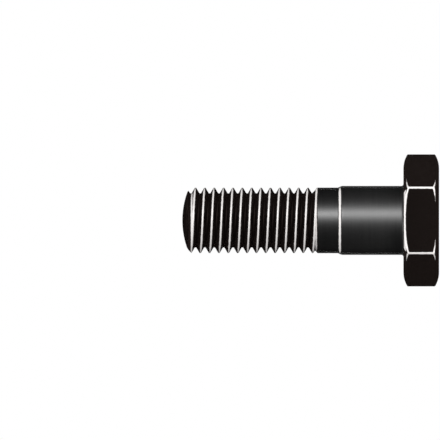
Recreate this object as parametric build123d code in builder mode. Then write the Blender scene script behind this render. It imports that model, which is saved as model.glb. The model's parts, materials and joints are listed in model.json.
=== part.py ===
from build123d import *
import os
from math import ceil, radians, sqrt, tan

# Pivot bolt of a pair of pruning shears: one turned and threaded piece of black steel.
# A hexagon head carries a ground shoulder, on which the blades turn, then a short plain
# neck and a left-hand thread that ends in a chamfered, slightly domed point.
# Lengths are in millimetres and angles in degrees. The bolt is shaped with its axis on Z,
# the seat under the head at Z = 0 and the point downwards, and is stood on its head last.

# Thread, a quarter inch unified fine one. The shares are those of the thread standard:
# the crest flat of the pitch, and the depth of the height of the sharp V.
INCH = 25.4
thread_diameter = INCH / 4
threads_per_inch = 28
flank_angle = 30.0
crest_share = 1 / 8
depth_share = 17 / 24
runout_angle = 45.0
first_crest = 1.05

# Shank
under_head_length = 21.4
shoulder_diameter = 6.67
shoulder_length = 6.3
shoulder_lead = 0.3
neck_length = 2.0
seat_relief = 0.2

# Point
point_dome_radius = 8.1
point_chamfer = 0.4

# Head
across_flats = INCH * 7 / 16
head_height = 3.45
face_diameter = 10.7
head_chamfer_angle = 22.0

# Room by which a cutting shape stands clear of the metal
tool_room = 0.05

# Worked out from the sizes above
pitch = INCH / threads_per_inch
thread_depth = depth_share * pitch / (2 * tan(radians(flank_angle)))
thread_radius = thread_diameter / 2
root_radius = thread_radius - thread_depth
crest_flat = crest_share * pitch
shoulder_radius = shoulder_diameter / 2
flat_radius = across_flats / 2
corner_radius = across_flats / sqrt(3)
face_radius = face_diameter / 2
head_chamfer_slope = tan(radians(head_chamfer_angle))
dome_rim_radius = thread_radius - point_chamfer
dome_height = point_dome_radius - sqrt(point_dome_radius**2 - dome_rim_radius**2)
point_height = dome_height + point_chamfer
point_z = -under_head_length
thread_end_z = -(shoulder_length + neck_length)


def groove_half_width(depth):
    """Half the width of the groove between two threads, at a depth below the crests."""
    return (pitch - crest_flat) / 2 - depth * tan(radians(flank_angle))


# The head: a hexagon prism inside a turned disc that is chamfered on both faces
with BuildPart() as head:
    with BuildSketch():
        RegularPolygon(radius=flat_radius, side_count=6, major_radius=False, rotation=30)
    extrude(amount=head_height)
    with BuildSketch(Plane.XZ) as chamfered_disc:
        disc_radius = corner_radius + tool_room
        chamfer_height = (disc_radius - face_radius) * head_chamfer_slope
        with BuildLine():
            Polyline(
                (0, 0),
                (face_radius, 0),
                (disc_radius, chamfer_height),
                (disc_radius, head_height - chamfer_height),
                (face_radius, head_height),
                (0, head_height),
                close=True,
            )
        make_face()
    revolve(axis=Axis.Z, mode=Mode.INTERSECT)

# One turn of the left-hand groove between two threads, as a cutting shape
with BuildPart() as groove_turn:
    with BuildLine() as groove_path:
        Helix(pitch, pitch, root_radius, lefthand=True)
    groove_start = Plane(
        origin=groove_path.line @ 0, x_dir=(1, 0, 0), z_dir=groove_path.line % 0
    )
    with BuildSketch(groove_start) as groove_section:
        root_half = groove_half_width(thread_depth)
        mouth_half = groove_half_width(-tool_room)
        with BuildLine():
            Polyline(
                (0, root_half),
                (thread_depth + tool_room, mouth_half),
                (thread_depth + tool_room, -mouth_half),
                (0, -root_half),
                close=True,
            )
        make_face()
    sweep(path=groove_path.line, is_frenet=True)

# The threaded rod: turned with its domed and chamfered point, then cut by the turns of the
# groove, which follow one another from below the point to past the end of the thread
with BuildPart() as threaded_rod:
    with BuildSketch(Plane.XZ) as rod_outline:
        dome_rim = (dome_rim_radius, point_z + dome_height)
        with BuildLine():
            RadiusArc((0, point_z), dome_rim, -point_dome_radius)
            Polyline(
                dome_rim,
                (thread_radius, point_z + point_height),
                (thread_radius, thread_end_z),
                (0, thread_end_z),
                (0, point_z),
            )
        make_face()
    revolve(axis=Axis.Z)
    groove_start_z = point_z + first_crest - pitch * ceil(first_crest / pitch + 0.5)
    turn_count = ceil((thread_end_z - groove_start_z) / pitch) + 1
    with Locations([(0, 0, groove_start_z + turn * pitch) for turn in range(turn_count)]):
        add(groove_turn.part, mode=Mode.SUBTRACT, clean=False)

# The neck and the shoulder. A cone below the neck fills the last turn of the groove, so
# that the thread runs out against it, and the cone's rim is the edge of the neck.
with BuildPart() as upper_shank:
    with BuildSketch(Plane.XZ) as upper_outline:
        runout_height = thread_radius / tan(radians(runout_angle))
        with BuildLine():
            Polyline(
                (0, thread_end_z - runout_height),
                (thread_radius, thread_end_z),
                (thread_radius, -shoulder_length),
                (shoulder_radius, shoulder_lead - shoulder_length),
                (shoulder_radius, -seat_relief),
                (shoulder_radius + seat_relief, 0),
                (0, 0),
                close=True,
            )
        make_face()
    revolve(axis=Axis.Z)

# The whole bolt, stood on the flat face of its head at Z = 0, with the point upwards, two
# flats of the head square to X and two of its corners on Y
standing_place = Pos(0, 0, head_height) * Rotation(0, 180, 0)

with BuildPart() as bolt:
    with Locations(standing_place):
        add(threaded_rod.part, clean=False)
        add(upper_shank.part, clean=False)
        add(head.part, clean=False)

bolt.part.label = "bolt"
os.makedirs("parts", exist_ok=True)
export_step(bolt.part, "parts/bolt.step")
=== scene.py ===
import json

import bmesh
import bpy
import numpy as np
from mathutils import Matrix, Vector


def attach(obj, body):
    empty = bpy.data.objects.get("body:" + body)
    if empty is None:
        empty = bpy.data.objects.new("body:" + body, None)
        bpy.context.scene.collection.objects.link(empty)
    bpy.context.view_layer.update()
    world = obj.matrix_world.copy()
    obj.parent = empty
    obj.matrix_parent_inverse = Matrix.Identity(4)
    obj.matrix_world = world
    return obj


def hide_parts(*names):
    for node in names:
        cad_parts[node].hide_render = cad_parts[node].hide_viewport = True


# Pivot bolt of a pair of pruning shears, of black oxide steel, stood on its head.
# Its surface is worked out in the bolt's own frame, in millimetres: z along the axis, 0 at
# the seat under the head and negative towards the point. The side at half a turn faces the
# camera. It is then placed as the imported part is, with the head down.

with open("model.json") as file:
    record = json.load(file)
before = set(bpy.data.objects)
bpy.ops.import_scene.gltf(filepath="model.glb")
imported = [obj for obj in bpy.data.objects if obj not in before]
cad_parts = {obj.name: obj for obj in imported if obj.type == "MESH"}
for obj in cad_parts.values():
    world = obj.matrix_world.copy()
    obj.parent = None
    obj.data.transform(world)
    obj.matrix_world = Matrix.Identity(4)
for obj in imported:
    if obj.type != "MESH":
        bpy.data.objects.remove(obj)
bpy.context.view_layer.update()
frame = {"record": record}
mounts = {mount["name"]: mount for mount in frame["record"]["mounts"]}

# Sizes in millimetres, the same as in the part's source
INCH = 25.4
PITCH = INCH / 28
THREAD_RADIUS = INCH / 8
THREAD_DEPTH = 17 / 24 * PITCH * np.sqrt(3) / 2
ROOT_RADIUS = THREAD_RADIUS - THREAD_DEPTH
CREST_FLAT = PITCH / 8
POINT_Z = -21.4
FIRST_CREST = 1.05
THREAD_END_Z = -8.3
POINT_CHAMFER = 0.4
DOME_RADIUS = 8.1
DOME_RIM = THREAD_RADIUS - POINT_CHAMFER
DOME_HEIGHT = DOME_RADIUS - np.sqrt(DOME_RADIUS**2 - DOME_RIM**2)
POINT_RING_Z = POINT_Z + DOME_HEIGHT + POINT_CHAMFER
SHOULDER_RADIUS = mounts["shoulder"]["dims"]["r_mm"]
SHOULDER_Z = -6.3
SHOULDER_LEAD = 0.3
SEAT_RELIEF = 0.2
FLAT_RADIUS = INCH * 7 / 32
HEAD_HEIGHT = mounts["seat"]["pos_m"][2] * 1000

# The grid: the height at which the rows of the dome give way to those of the thread, how
# many even angles go round the axis, how close two places are merged, in metres, and the
# angle in degrees past which an edge stays sharp
THREAD_ROWS_Z = POINT_Z + 0.43
EVEN_ANGLES = 240
MERGE_DISTANCE = 2e-7
SHARP_ANGLE = 32

# Crown of the head, in millimetres: an arc that begins at a radius on the flat face. The
# part's source has a plain cone there.
CROWN_START = 5.03
CROWN_RADIUS = 2.57

# Roundings of the edges, in millimetres
CORNER_ROUNDING = 0.16
RIM_ROUNDING = 0.07
CREST_ROUNDING = 0.03
POINT_ROUNDING = 0.01

# Half widths of the painted highlight lines, in millimetres
CREST_LINE = 0.088
RING_LINE = 0.08
LEAD_LINE = 0.105
CORNER_LINE = 0.125
FORK_LINE = 0.09

# Middles of the painted highlight rings: just past the point's edge, on the point's side of
# the thread's end, and halfway up the shoulder's lead
POINT_LINE_Z = POINT_RING_Z + 0.01
RUNOUT_LINE_Z = THREAD_END_Z - 0.15
LEAD_LINE_Z = SHOULDER_Z + SHOULDER_LEAD / 2

# Angles from X between which a line round the shank narrows, and the share that is left
NARROWING = (1.03, 1.4)
THIN_SHARE = 0.25

# Forks at the ends of the painted highlight lines on the head's corners, in millimetres: how
# far below the rim a fork starts, how much further below it falls for each millimetre from the
# corner, and its length.
# Its end is cut off by more than the lines waver, so that it isn't dotted.
SEAT_FORK = (0.05, 0.08, 2.1)
FAR_FORK = (0.13, 0.067, 1.9)
FORK_CUT = 0.04

# Painted highlight band along the seat's rim, in millimetres: from a depth below the seat to
# one past the rim, and clear of the corners on the crown, whose edge is a little above the
# rim. Close to a corner, a dark gap just above the rim parts the band into two strands. The
# gap has its half width at the corner, and has closed at its length from it.
BAND_START = 0.05
BAND_PAST_RIM = 0.165
CROWN_EDGE = 0.02
CROWN_CLEAR = 0.12
GAP_ABOVE_RIM = 0.03
GAP_HALF = 0.07
GAP_LENGTH = 0.6

# Painted highlights, as pale satin steel: the half width over which their edge blends into
# the oxide, and how far their edge wavers and over what length, in millimetres
PAINTED_HIGHLIGHT_COLOUR = "#F0ECEA"
PAINTED_HIGHLIGHT_METALLIC = 0.2
PAINTED_HIGHLIGHT_ROUGHNESS = 0.5
PAINTED_HIGHLIGHT_EDGE = 0.02
WAVER = 0.035
WAVER_LENGTH = 0.35

# The picture: its width and the middle of the bolt's axis in pixels, its scale, and the
# camera's distance in metres
IMAGE_WIDTH = 440
AXIS_MIDDLE = (310.7, 220.4)
PIXELS_PER_MM = 10.33
CAMERA_DISTANCE = 0.5

# The studio. Metal shows a dim room, and behind the bolt a white wall, which begins and is
# full at these values of a direction's X. The lamps are aimed at a height above the seat, in
# millimetres.
ROOM_LIGHT = 0.6
DIM_ROOM = 0.03
WALL_BEGINS = -0.7
WALL_FULL = -0.97
AIM_HEIGHT = 9

# The floor, in millimetres: a larger one would show in the sheen of the shoulder. It lies
# just clear of the head's face, and glows a little where it is seen.
FLOOR_RADIUS = 14
FLOOR_GAP = 0.02
FLOOR_GLOW = 0.42


def hexagon_radius(angle):
    """Distance from the axis to the side of the head.

    It is the distance to the flat over the cosine of the angle to the flat's middle. Near a
    corner it is where the ray meets a small circle that touches both flats: the part of the
    circle's centre distance along the ray, plus the root of the circle's radius squared less
    the square of the centre's distance from the ray.
    """
    to_corner = np.abs(angle % (np.pi / 3) - np.pi / 6)
    flat = FLAT_RADIUS / np.cos(np.pi / 6 - to_corner)
    centre = (FLAT_RADIUS - CORNER_ROUNDING) / np.cos(np.pi / 6)
    touch = np.arctan2(CORNER_ROUNDING / 2, centre + CORNER_ROUNDING * np.cos(np.pi / 6))
    under_root = CORNER_ROUNDING**2 - (centre * np.sin(to_corner))**2
    rounded = centre * np.cos(to_corner) + np.sqrt(np.maximum(under_root, 0))
    return np.where(to_corner < touch, rounded, flat)


def crown_drop(radius):
    """How far the turned crown of the head falls away from its flat face at a radius.

    The crown is an arc that leaves the face as its tangent: the arc's radius, less the root
    of its square less the square of the distance past the start.
    """
    past = np.maximum(radius - CROWN_START, 0)
    return CROWN_RADIUS - np.sqrt(CROWN_RADIUS**2 - past**2)


def soft_smaller(first, second, rounding):
    """The smaller of two lengths, rounded over where they cross.

    It is half of their sum less the root of their difference squared plus the rounding's.
    """
    return (first + second - np.sqrt((first - second)**2 + rounding**2)) / 2


def distance_from_crest(z, angle):
    """Distance along the axis to the middle of the nearest thread crest.

    A left-hand crest falls towards the point by one pitch in a turn, so the place in the
    pitch is the height over the pitch plus the share of a turn.
    """
    place = (z - POINT_Z - FIRST_CREST) / PITCH + angle / (2 * np.pi) - 0.5
    return np.abs(place - np.round(place)) * PITCH


def thread_radius(z, angle):
    """Distance from the axis to the rolled thread, with rounded crests and roots.

    The flank leaves the crest's half width at 30 degrees from square, so it falls by the root
    of 3 for each unit along the axis. It is cut off softly at the crest and at the root.
    """
    flank = THREAD_RADIUS - (distance_from_crest(z, angle) - CREST_FLAT / 2) * np.sqrt(3)
    crested = soft_smaller(flank, THREAD_RADIUS, CREST_ROUNDING)
    return -soft_smaller(-crested, -ROOT_RADIUS, CREST_ROUNDING)


def point_radius(z):
    """Distance from the axis to the turned point: dome, chamfer at 45 degrees, then rod."""
    height = np.clip(z - POINT_Z, 0, DOME_HEIGHT)
    dome = np.sqrt(DOME_RADIUS**2 - (DOME_RADIUS - height)**2)
    return np.minimum(dome + np.maximum(z - POINT_Z - DOME_HEIGHT, 0), THREAD_RADIUS)


def highlight_share(angle):
    """Share of its full width that a painted highlight line on the shank has at an angle.

    It is whole on the two sides that face +-X, towards the camera and away from it, and falls
    evenly with the angle to a quarter on the two that face +-Y.
    """
    from_highlighted_side = np.abs((angle + np.pi / 2) % np.pi - np.pi / 2)
    return np.interp(from_highlighted_side, NARROWING, [1, THIN_SHARE])


def shank_highlight(z, angle, on_thread):
    """How far inside a painted highlight line a place on the shank lies, in millimetres.

    Each line is its half width less the distance along the axis: the crests, the ring where
    the point begins, the ring where the thread runs out, and the shoulder's lead. The largest
    counts.
    """
    share = highlight_share(angle)
    crest = np.where(on_thread, CREST_LINE * share - distance_from_crest(z, angle), -1)
    point_ring = RING_LINE * share - np.abs(z - POINT_LINE_Z)
    runout_ring = RING_LINE * share - np.abs(z - RUNOUT_LINE_Z)
    lead = LEAD_LINE * share - np.abs(z - LEAD_LINE_Z)
    return np.maximum(np.maximum(crest, point_ring), np.maximum(runout_ring, lead))


def head_highlight(depth, rim_depth, angle, seat_end):
    """How far inside a painted highlight line a place on the head lies, in millimetres.

    The place is a depth below the nearer face of the head, and the rim is where the crown
    meets the side. Along a flat, it is the flat's distance times the tangent of the angle
    to its middle. Four corners carry painted highlights, the two on Y don't. A line runs
    along each of them, and forks at both ends into lines that follow the rim from below, thin
    out evenly and end. On the two flats square to X, a painted highlight band goes along the
    whole rim at the seat's end instead, and parts into two strands close to each corner.
    """
    in_flat = (angle + np.pi / 6) % (np.pi / 3) - np.pi / 6
    to_corner = FLAT_RADIUS * (np.tan(np.pi / 6) - np.abs(np.tan(in_flat)))
    # Corners that carry a painted highlight line
    highlighted_corner = np.round((angle - np.pi / 6) / (np.pi / 3)) % 3 != 1
    square_to_x = np.abs((angle + np.pi / 2) % np.pi - np.pi / 2) < np.pi / 6

    below_rim, spread, length = SEAT_FORK if seat_end else FAR_FORK
    corner = np.where(depth > rim_depth + below_rim, CORNER_LINE - to_corner, -1)
    thinning = np.clip(1 - to_corner / length, 0, 1)
    from_fork = np.abs(depth - rim_depth - below_rim - spread * to_corner)
    fork = FORK_LINE * thinning - FORK_CUT * (1 - thinning) - from_fork
    lines = np.where(highlighted_corner, np.maximum(corner, fork), -1)
    if not seat_end:
        return lines

    band = np.minimum(depth - BAND_START, rim_depth + BAND_PAST_RIM - depth)
    on_crown = depth < rim_depth - CROWN_EDGE
    band = np.where(on_crown, np.minimum(band, to_corner - CROWN_CLEAR), band)
    from_gap = np.abs(depth - rim_depth + GAP_ABOVE_RIM)
    band = np.minimum(band, from_gap - GAP_HALF * (1 - to_corner / GAP_LENGTH))
    return np.where(square_to_x, np.maximum(corner, band), lines)


def dome_rows(angle):
    """Radii, heights and painted highlight distances of the dome, as rows from the point on.

    The rows are level circles, spaced evenly outwards, and their height is that of a ball.
    """
    share = np.linspace(0, 1, 12)[:-1, None]
    radius = share * point_radius(THREAD_ROWS_Z) * np.ones_like(angle)
    z = POINT_Z + DOME_RADIUS - np.sqrt(DOME_RADIUS**2 - radius**2)
    return radius, z, shank_highlight(z, angle, False)


def thread_rows(angle):
    """Radii, heights and painted highlight distances of the thread, as rows from the dome to the
    neck.

    The rows follow the helix, falling by one pitch in a turn, so that each stays on its part
    of the crest, flank or root, and are held between the dome's rows and the end of the
    thread. The radius is the thread's, but no less than that of the cone that it runs out
    against, and softly no more than the point's.
    """
    # Distances of the rows from the middle of a crest: on the crest, its edge and the flank
    beside = np.array([0.03, 0.057, 0.085, 0.14, 0.22, 0.31, 0.36, 0.40])
    places = np.concatenate([-beside[::-1], [0], beside, [PITCH / 2]])
    turns = np.arange(-1, np.ceil((THREAD_END_Z - POINT_Z) / PITCH))[:, None]
    start = POINT_Z + FIRST_CREST + PITCH / 2 + (turns * PITCH + places).ravel()[:, None]
    z = np.clip(start - PITCH * angle / (2 * np.pi), THREAD_ROWS_Z, THREAD_END_Z)
    runout_cone = THREAD_RADIUS - (THREAD_END_Z - z)
    radius = np.maximum(thread_radius(z, angle), runout_cone)
    radius = soft_smaller(radius, point_radius(z), POINT_ROUNDING)
    return radius, z, shank_highlight(z, angle, True)


def turned_rows(outline, angle):
    """Radii, heights and painted highlight distances of level circles, one for each radius and
    height given.
    """
    radius, z = [np.array(outline)[:, [side]] * np.ones_like(angle) for side in (0, 1)]
    return radius, z, shank_highlight(z, angle, False)


def head_rows(angle):
    """Radii, heights and painted highlight distances of the head, as rows from the seat's end to
    the outer face.

    Half of the head is its crown, its rim and its side, and the other half is the same one
    seen from the outer face. The crown's rows lie between the start of its arc and the rim.
    The rim is rounded by a curve of second degree with its middle point where the crown
    would meet the side.
    """
    side_r = hexagon_radius(angle)
    inward = np.array([1, 0.8, 0.6, 0.42, 0.27, 0.15])[:, None]
    crown_r = side_r - RIM_ROUNDING - inward * (side_r - RIM_ROUNDING - CROWN_START)
    rim_start_z = crown_drop(side_r - RIM_ROUNDING)
    rim_z = crown_drop(side_r)
    bend = np.linspace(0, 1, 5)[:, None]
    rim_r = side_r - RIM_ROUNDING * (1 - bend)**2
    rounded_z = ((1 - bend)**2 * rim_start_z + 2 * bend * (1 - bend) * rim_z
                 + bend**2 * (rim_z + RIM_ROUNDING))
    down = np.array([0.10, 0.14, 0.18, 0.22, 0.27, 0.33, 0.42, 0.6])[:, None]
    half_r = np.vstack([crown_r, rim_r, side_r * np.ones_like(down)])
    half_z = np.vstack([crown_drop(crown_r), rounded_z, rim_z + down])
    middle_z = np.full_like(angle, HEAD_HEIGHT / 2)
    face_r = np.array([3.4, 1.7, 0])[:, None] * np.ones_like(angle)

    radius = np.vstack([half_r, side_r, half_r[::-1], face_r])
    z = np.vstack([half_z, middle_z, HEAD_HEIGHT - half_z[::-1],
                   np.full_like(face_r, HEAD_HEIGHT)])
    inside_highlight = np.vstack([
        head_highlight(half_z, rim_z, angle, True), head_highlight(middle_z, rim_z, angle, False),
        head_highlight(half_z, rim_z, angle, False)[::-1], np.full_like(face_r, -1),
    ])
    return radius, z, inside_highlight


def bolt_grid():
    """The whole surface as rows of circles round the axis, from the point to the outer face.

    Each place is a radius and a height at an angle. The angles are even, with a few more
    beside the corners of the head. Returns the angles, the radii, the heights, how far each
    place lies inside a painted highlight line, and the number of each row's finish.
    """
    even = np.linspace(0, 2 * np.pi, EVEN_ANGLES + 1)
    corners = np.pi / 6 + np.arange(6) * np.pi / 3
    beside_corner = np.radians([-0.8, -0.4, 0.4, 0.8])
    angle = np.concatenate([even, (corners[:, None] + beside_corner).ravel()])
    angle = np.unique(angle)[None, :]

    # Turned outlines, as radii and heights. The shoulder's lead is rounded at both ends, and
    # the relief at the seat is a quarter of a circle.
    neck = [(THREAD_RADIUS, THREAD_END_Z + up) for up in (0, 0.08)]
    neck += [(THREAD_RADIUS, SHOULDER_Z - below) for below in (1.0, 0.2, 0.06)]
    lead = [(THREAD_RADIUS + 0.015, SHOULDER_Z), (THREAD_RADIUS + 0.06, SHOULDER_Z + 0.1),
            (SHOULDER_RADIUS - 0.06, SHOULDER_Z + 0.18),
            (SHOULDER_RADIUS - 0.015, SHOULDER_Z + SHOULDER_LEAD)]
    shoulder = [(SHOULDER_RADIUS, z) for z in (-5.94, -5.8, -4.4, -3.0, -1.6, -0.3)]
    sweep = np.linspace(0, np.pi / 2, 6)
    relief = np.stack([SHOULDER_RADIUS + SEAT_RELIEF * (1 - np.cos(sweep)),
                       SEAT_RELIEF * (np.sin(sweep) - 1)], axis=-1)
    seat = [(3.7, 0), (4.3, 0)]

    parts = [
        (0, *dome_rows(angle)),
        (1, *thread_rows(angle)),
        (2, *turned_rows(neck, angle)),
        (3, *turned_rows(np.vstack([lead, shoulder, relief]), angle)),
        (4, *turned_rows(seat, angle)),
        (4, *head_rows(angle)),
    ]
    numbers, radii, heights, inside_highlights = zip(*parts)
    finish = np.repeat(numbers, [len(radius) for radius in radii])
    return angle, np.vstack(radii), np.vstack(heights), np.vstack(inside_highlights), finish


def add_surface(name, angle, radius, z, inside_highlight, finish):
    """A closed mesh of the grid, with x and y as the radius times cosine and sine.

    The bolt's frame is turned half round Y and lifted by the head's height. The seam, the
    poles and the rows that the thread's ends squeeze together are merged.
    """
    rows, columns = radius.shape
    points = np.stack([-radius * np.cos(angle), radius * np.sin(angle), HEAD_HEIGHT - z], axis=-1)
    row, column = np.meshgrid(np.arange(rows - 1), np.arange(columns - 1), indexing="ij")
    corner = (row * columns + column).ravel()
    quads = np.stack([corner, corner + 1, corner + columns + 1, corner + columns], axis=-1)
    mesh = bpy.data.meshes.new(name)
    mesh.from_pydata(points.reshape(-1, 3) / 1000, [], quads)
    # For each point, how far inside a painted highlight line it lies
    mesh.attributes.new("painted_highlight_mm", "FLOAT", "POINT").data.foreach_set("value", inside_highlight.ravel())
    mesh.polygons.foreach_set("material_index", np.repeat(finish[:-1], columns - 1))
    piece = bpy.data.objects.new(name, mesh)
    bpy.context.scene.collection.objects.link(piece)
    work = bmesh.new()
    work.from_mesh(mesh)
    bmesh.ops.remove_doubles(work, verts=work.verts, dist=MERGE_DISTANCE)
    bmesh.ops.dissolve_degenerate(work, edges=work.edges, dist=MERGE_DISTANCE)
    bmesh.ops.recalc_face_normals(work, faces=work.faces)
    work.to_mesh(mesh)
    work.free()
    mesh.shade_smooth()
    mesh.set_sharp_from_angle(angle=np.radians(SHARP_ANGLE))
    return piece


def linear(hex_colour):
    """An sRGB hex colour as linear red, green, blue and alpha.

    Each channel plus 0.055, over 1.055, is taken to the power of 2.4. Close to black, it is
    only divided by 12.92.
    """
    written = np.array([int(hex_colour[place:place + 2], 16) for place in (1, 3, 5)]) / 255
    curve = np.where(written > 0.04045, ((written + 0.055) / 1.055)**2.4, written / 12.92)
    return (*curve, 1.0)


def add_node(tree, kind, inputs=None, **settings):
    """A new node with its settings. An input is linked if it is a socket, and set if not."""
    node = tree.nodes.new(kind)
    for name, value in settings.items():
        setattr(node, name, value)
    for name, value in (inputs or {}).items():
        if isinstance(value, bpy.types.NodeSocket):
            tree.links.new(value, node.inputs[name])
        else:
            node.inputs[name].default_value = value
    return node


def empty_tree(owner):
    """The node tree of a material or world, with nothing in it yet."""
    owner.use_nodes = True
    owner.node_tree.nodes.clear()
    return owner.node_tree


def blackened_steel(name, blacks, roughness, pattern_mm, relief_mm):
    """Black oxide steel with one way of being made, with painted highlights along its lines.

    The oxide is a thin black skin that still mirrors a little, as the metal under it does,
    and it goes dark where it is seen at a slant, so the outlines stay black. The pattern is
    what the making leaves: its size along x, y and z in millimetres mottles the colour
    between the two blacks and the roughness between its two values, and its relief catches
    the light. The painted highlights are pale, satin steel. Their lines waver by a few
    hundredths of a millimetre.
    """
    material = bpy.data.materials.new(name)
    tree = empty_tree(material)
    place = add_node(tree, "ShaderNodeTexCoord").outputs["Object"]
    sized = add_node(tree, "ShaderNodeMapping", {
        "Vector": place, "Scale": tuple(1000 / size for size in pattern_mm)})
    pattern = add_node(tree, "ShaderNodeTexNoise", {
        "Vector": sized.outputs[0], "Scale": 1.0, "Detail": 3.0, "Roughness": 0.6})
    patches = add_node(tree, "ShaderNodeMapRange", {
        "Value": pattern.outputs["Fac"], "From Min": 0.32, "From Max": 0.68})

    # How far a place lies inside a painted highlight line, with the line's edges made to waver
    inside_highlight = add_node(tree, "ShaderNodeAttribute", attribute_name="painted_highlight_mm")
    waver = add_node(tree, "ShaderNodeTexNoise", {
        "Vector": place, "Scale": 1000 / WAVER_LENGTH, "Detail": 2.0})
    wavered = add_node(tree, "ShaderNodeMath", {
        0: waver.outputs["Fac"], 1: 2 * WAVER, 2: -WAVER}, operation="MULTIPLY_ADD")
    distance = add_node(tree, "ShaderNodeMath", {
        0: inside_highlight.outputs["Fac"], 1: wavered.outputs[0]}, operation="ADD")
    # Share of painted highlight at each place
    painted_highlight = add_node(tree, "ShaderNodeMapRange", {
        "Value": distance.outputs[0], "From Min": -PAINTED_HIGHLIGHT_EDGE, "From Max": PAINTED_HIGHLIGHT_EDGE,
    }).outputs[0]

    oxide = add_node(tree, "ShaderNodeMix", {
        "Factor": patches.outputs[0], "A": linear(blacks[0]), "B": linear(blacks[1])},
        data_type="RGBA")
    # The painted highlight lines are mixed into the oxide's colour as pale steel
    colour = add_node(tree, "ShaderNodeMix", {
        "Factor": painted_highlight, "A": oxide.outputs["Result"], "B": linear(PAINTED_HIGHLIGHT_COLOUR)},
        data_type="RGBA")
    matt = add_node(tree, "ShaderNodeMapRange", {
        "Value": patches.outputs[0], "To Min": roughness[0], "To Max": roughness[1]})
    satin = add_node(tree, "ShaderNodeMix", {
        "Factor": painted_highlight, "A": matt.outputs[0], "B": PAINTED_HIGHLIGHT_ROUGHNESS})
    metal = add_node(tree, "ShaderNodeMapRange", {
        "Value": painted_highlight, "To Min": 1.0, "To Max": PAINTED_HIGHLIGHT_METALLIC})
    relief = add_node(tree, "ShaderNodeBump", {
        "Height": pattern.outputs["Fac"], "Strength": 1.0, "Distance": relief_mm / 1000})
    steel = add_node(tree, "ShaderNodeBsdfPrincipled", {
        "Base Color": colour.outputs["Result"], "Metallic": metal.outputs[0],
        "Roughness": satin.outputs[0], "Normal": relief.outputs[0],
        "Specular Tint": linear("#595959")})
    add_node(tree, "ShaderNodeOutputMaterial", {"Surface": steel.outputs[0]})
    return material


def seen_directly(tree):
    """Whether the camera sees the background itself, and whether metal or glass shows it."""
    path = add_node(tree, "ShaderNodeLightPath")
    mirrored = add_node(tree, "ShaderNodeMath", {
        0: path.outputs["Is Glossy Ray"], 1: path.outputs["Is Transmission Ray"]},
        operation="MAXIMUM")
    return path.outputs["Is Camera Ray"], mirrored.outputs[0]


def studio_world():
    """A white studio wall behind the bolt, and a dim room on the camera's side.

    The camera sees white all round, and surfaces are lit evenly by the room. What metal
    shows goes from dim to white with the part of the direction that points to the wall.
    """
    world = bpy.data.worlds.new("studio")
    bpy.context.scene.world = world
    tree = empty_tree(world)
    direction = add_node(tree, "ShaderNodeTexCoord").outputs["Generated"]
    along_x = add_node(tree, "ShaderNodeSeparateXYZ", {"Vector": direction}).outputs["X"]
    wall = add_node(tree, "ShaderNodeMapRange", {
        "Value": along_x, "From Min": WALL_BEGINS, "From Max": WALL_FULL,
        "To Min": DIM_ROOM, "To Max": 1.0})
    camera, mirrored = seen_directly(tree)
    room = add_node(tree, "ShaderNodeMix", {
        "Factor": mirrored, "A": ROOM_LIGHT, "B": wall.outputs[0]})
    light = add_node(tree, "ShaderNodeMath", {0: room.outputs[0], 1: camera}, operation="MAXIMUM")
    background = add_node(tree, "ShaderNodeBackground", {
        "Color": linear("#FFFFFF"), "Strength": light.outputs[0]})
    add_node(tree, "ShaderNodeOutputWorld", {"Surface": background.outputs[0]})


def studio_floor():
    """A round floor of white paper under the head.

    Its rim is the radius times cosine and sine. The glow where it is seen makes it white in
    the light, and it keeps the bolt's soft shadow.
    """
    angle = np.linspace(0, 2 * np.pi, 64, endpoint=False)
    rim = np.stack([FLOOR_RADIUS * np.cos(angle), FLOOR_RADIUS * np.sin(angle),
                    np.full_like(angle, -FLOOR_GAP)], axis=-1)
    mesh = bpy.data.meshes.new("floor")
    mesh.from_pydata(rim / 1000, [], [list(range(len(angle)))])
    floor = bpy.data.objects.new("floor", mesh)
    bpy.context.scene.collection.objects.link(floor)
    material = bpy.data.materials.new("white studio paper")
    tree = empty_tree(material)
    camera, mirrored = seen_directly(tree)
    seen = add_node(tree, "ShaderNodeMath", {0: camera, 1: mirrored}, operation="MAXIMUM")
    glow = add_node(tree, "ShaderNodeMath", {
        0: seen.outputs[0], 1: FLOOR_GLOW}, operation="MULTIPLY")
    paper = add_node(tree, "ShaderNodeBsdfPrincipled", {
        "Base Color": linear("#DEDEDE"), "Roughness": 0.9,
        "Emission Color": linear("#FFFFFF"), "Emission Strength": glow.outputs[0]})
    add_node(tree, "ShaderNodeOutputMaterial", {"Surface": paper.outputs[0]})
    mesh.materials.append(material)


def add_lamp(azimuth, elevation, distance, width, height, irradiance):
    """A rectangular lamp that faces the bolt, placed by its angles in degrees, in metres.

    Its power is pi times the distance squared times the light that falls on each square
    metre of a surface turned to it.
    """
    lamp = bpy.data.lights.new("softbox", "AREA")
    lamp.shape = "RECTANGLE"
    lamp.size = width
    lamp.size_y = height
    lamp.energy = irradiance * np.pi * distance**2
    around, up = np.radians(azimuth), np.radians(elevation)
    toward = Vector((np.cos(around) * np.cos(up), np.sin(around) * np.cos(up), np.sin(up)))
    aim = Vector((0, 0, HEAD_HEIGHT + AIM_HEIGHT)) / 1000
    turn = toward.to_track_quat("Z", "Y").to_matrix().to_4x4()
    holder = bpy.data.objects.new("softbox", lamp)
    holder.matrix_world = Matrix.Translation(aim + toward * distance) @ turn
    bpy.context.scene.collection.objects.link(holder)


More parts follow.
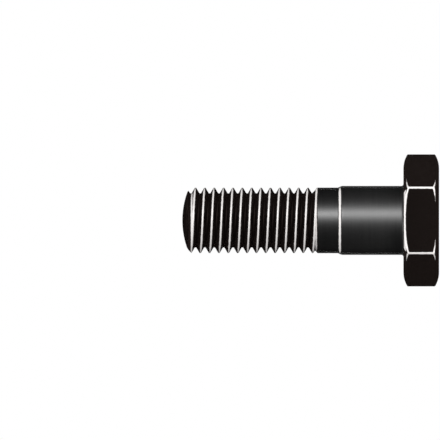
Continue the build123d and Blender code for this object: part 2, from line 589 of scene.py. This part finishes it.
def add_camera():
    """A level camera that looks along X in parallel projection, as the picture is drawn.

    It is rolled so that the bolt's axis runs across the picture, with the head to the right.
    """
    camera = bpy.data.objects.new("camera", bpy.data.cameras.new("camera"))
    camera.data.type = "ORTHO"
    camera.data.ortho_scale = IMAGE_WIDTH / PIXELS_PER_MM / 1000
    right, up, back = Vector((0, 0, -1)), Vector((0, 1, 0)), Vector((1, 0, 0))
    aside = (AXIS_MIDDLE[0] - IMAGE_WIDTH / 2) / PIXELS_PER_MM
    below = (AXIS_MIDDLE[1] - IMAGE_WIDTH / 2) / PIXELS_PER_MM
    middle = (HEAD_HEIGHT - POINT_Z) / 2
    aim = Vector((0, below, middle + aside)) / 1000
    turn = Matrix((right, up, back)).transposed().to_4x4()
    camera.matrix_world = Matrix.Translation(aim + back * CAMERA_DISTANCE) @ turn
    bpy.context.scene.collection.objects.link(camera)
    bpy.context.scene.camera = camera


# Pressed point: the blow that domes it leaves a fine scale, on which the oxide is darkest.
PRESSED = blackened_steel("pressed black oxide steel", ("#1C1615", "#221D1B"), (0.66, 0.74),
                          pattern_mm=(0.4, 0.4, 0.4), relief_mm=0.002)

# Rolled thread: the dies leave a fine and even skin. The oxide on it is dark and matt, with
# faint marks drawn out along the turns.
ROLLED = blackened_steel("rolled black oxide steel", ("#2B2321", "#332B29"), (0.66, 0.74),
                         pattern_mm=(1.6, 1.6, 0.2), relief_mm=0.002)

# Turned neck: the tool's feed leaves even rings, 0.15 mm apart. The skin on them is a little
# smoother than on the shoulder, so its bright band is narrower.
TURNED = blackened_steel("turned black oxide steel", ("#585858", "#5D5D5D"), (0.42, 0.45),
                         pattern_mm=(6.0, 6.0, 0.15), relief_mm=0.0008)

# Ground shoulder: fine lines run round it, each some 0.02 mm wide and drawn here 0.12 mm
# wide so that they show. They catch the lamp as a satin band.
GROUND = blackened_steel("ground black oxide steel", ("#5E5E5E", "#636363"), (0.45, 0.49),
                         pattern_mm=(5.0, 5.0, 0.12), relief_mm=0.0006)

# Forged head: a tight matt scale with a grain of about half a millimetre, which gives
# a broad and weak sheen.
FORGED = blackened_steel("forged black oxide steel", ("#26201E", "#2D2725"), (0.82, 0.92),
                         pattern_mm=(0.5, 0.5, 0.5), relief_mm=0.004)

bolt = add_surface("black_oxide_bolt", *bolt_grid())
for material in (PRESSED, ROLLED, TURNED, GROUND, FORGED):
    bolt.data.materials.append(material)
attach(bolt, "root")
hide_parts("bolt")

# A lamp beside the camera draws the bright band on the shank, and one overhead fills in
studio_world()
studio_floor()
add_lamp(azimuth=23, elevation=6, distance=0.9, width=0.2, height=0.3, irradiance=1.9)
add_lamp(azimuth=0, elevation=80, distance=0.9, width=0.5, height=0.5, irradiance=1.1)
add_camera()

bpy.context.scene.view_settings.view_transform = "Standard"
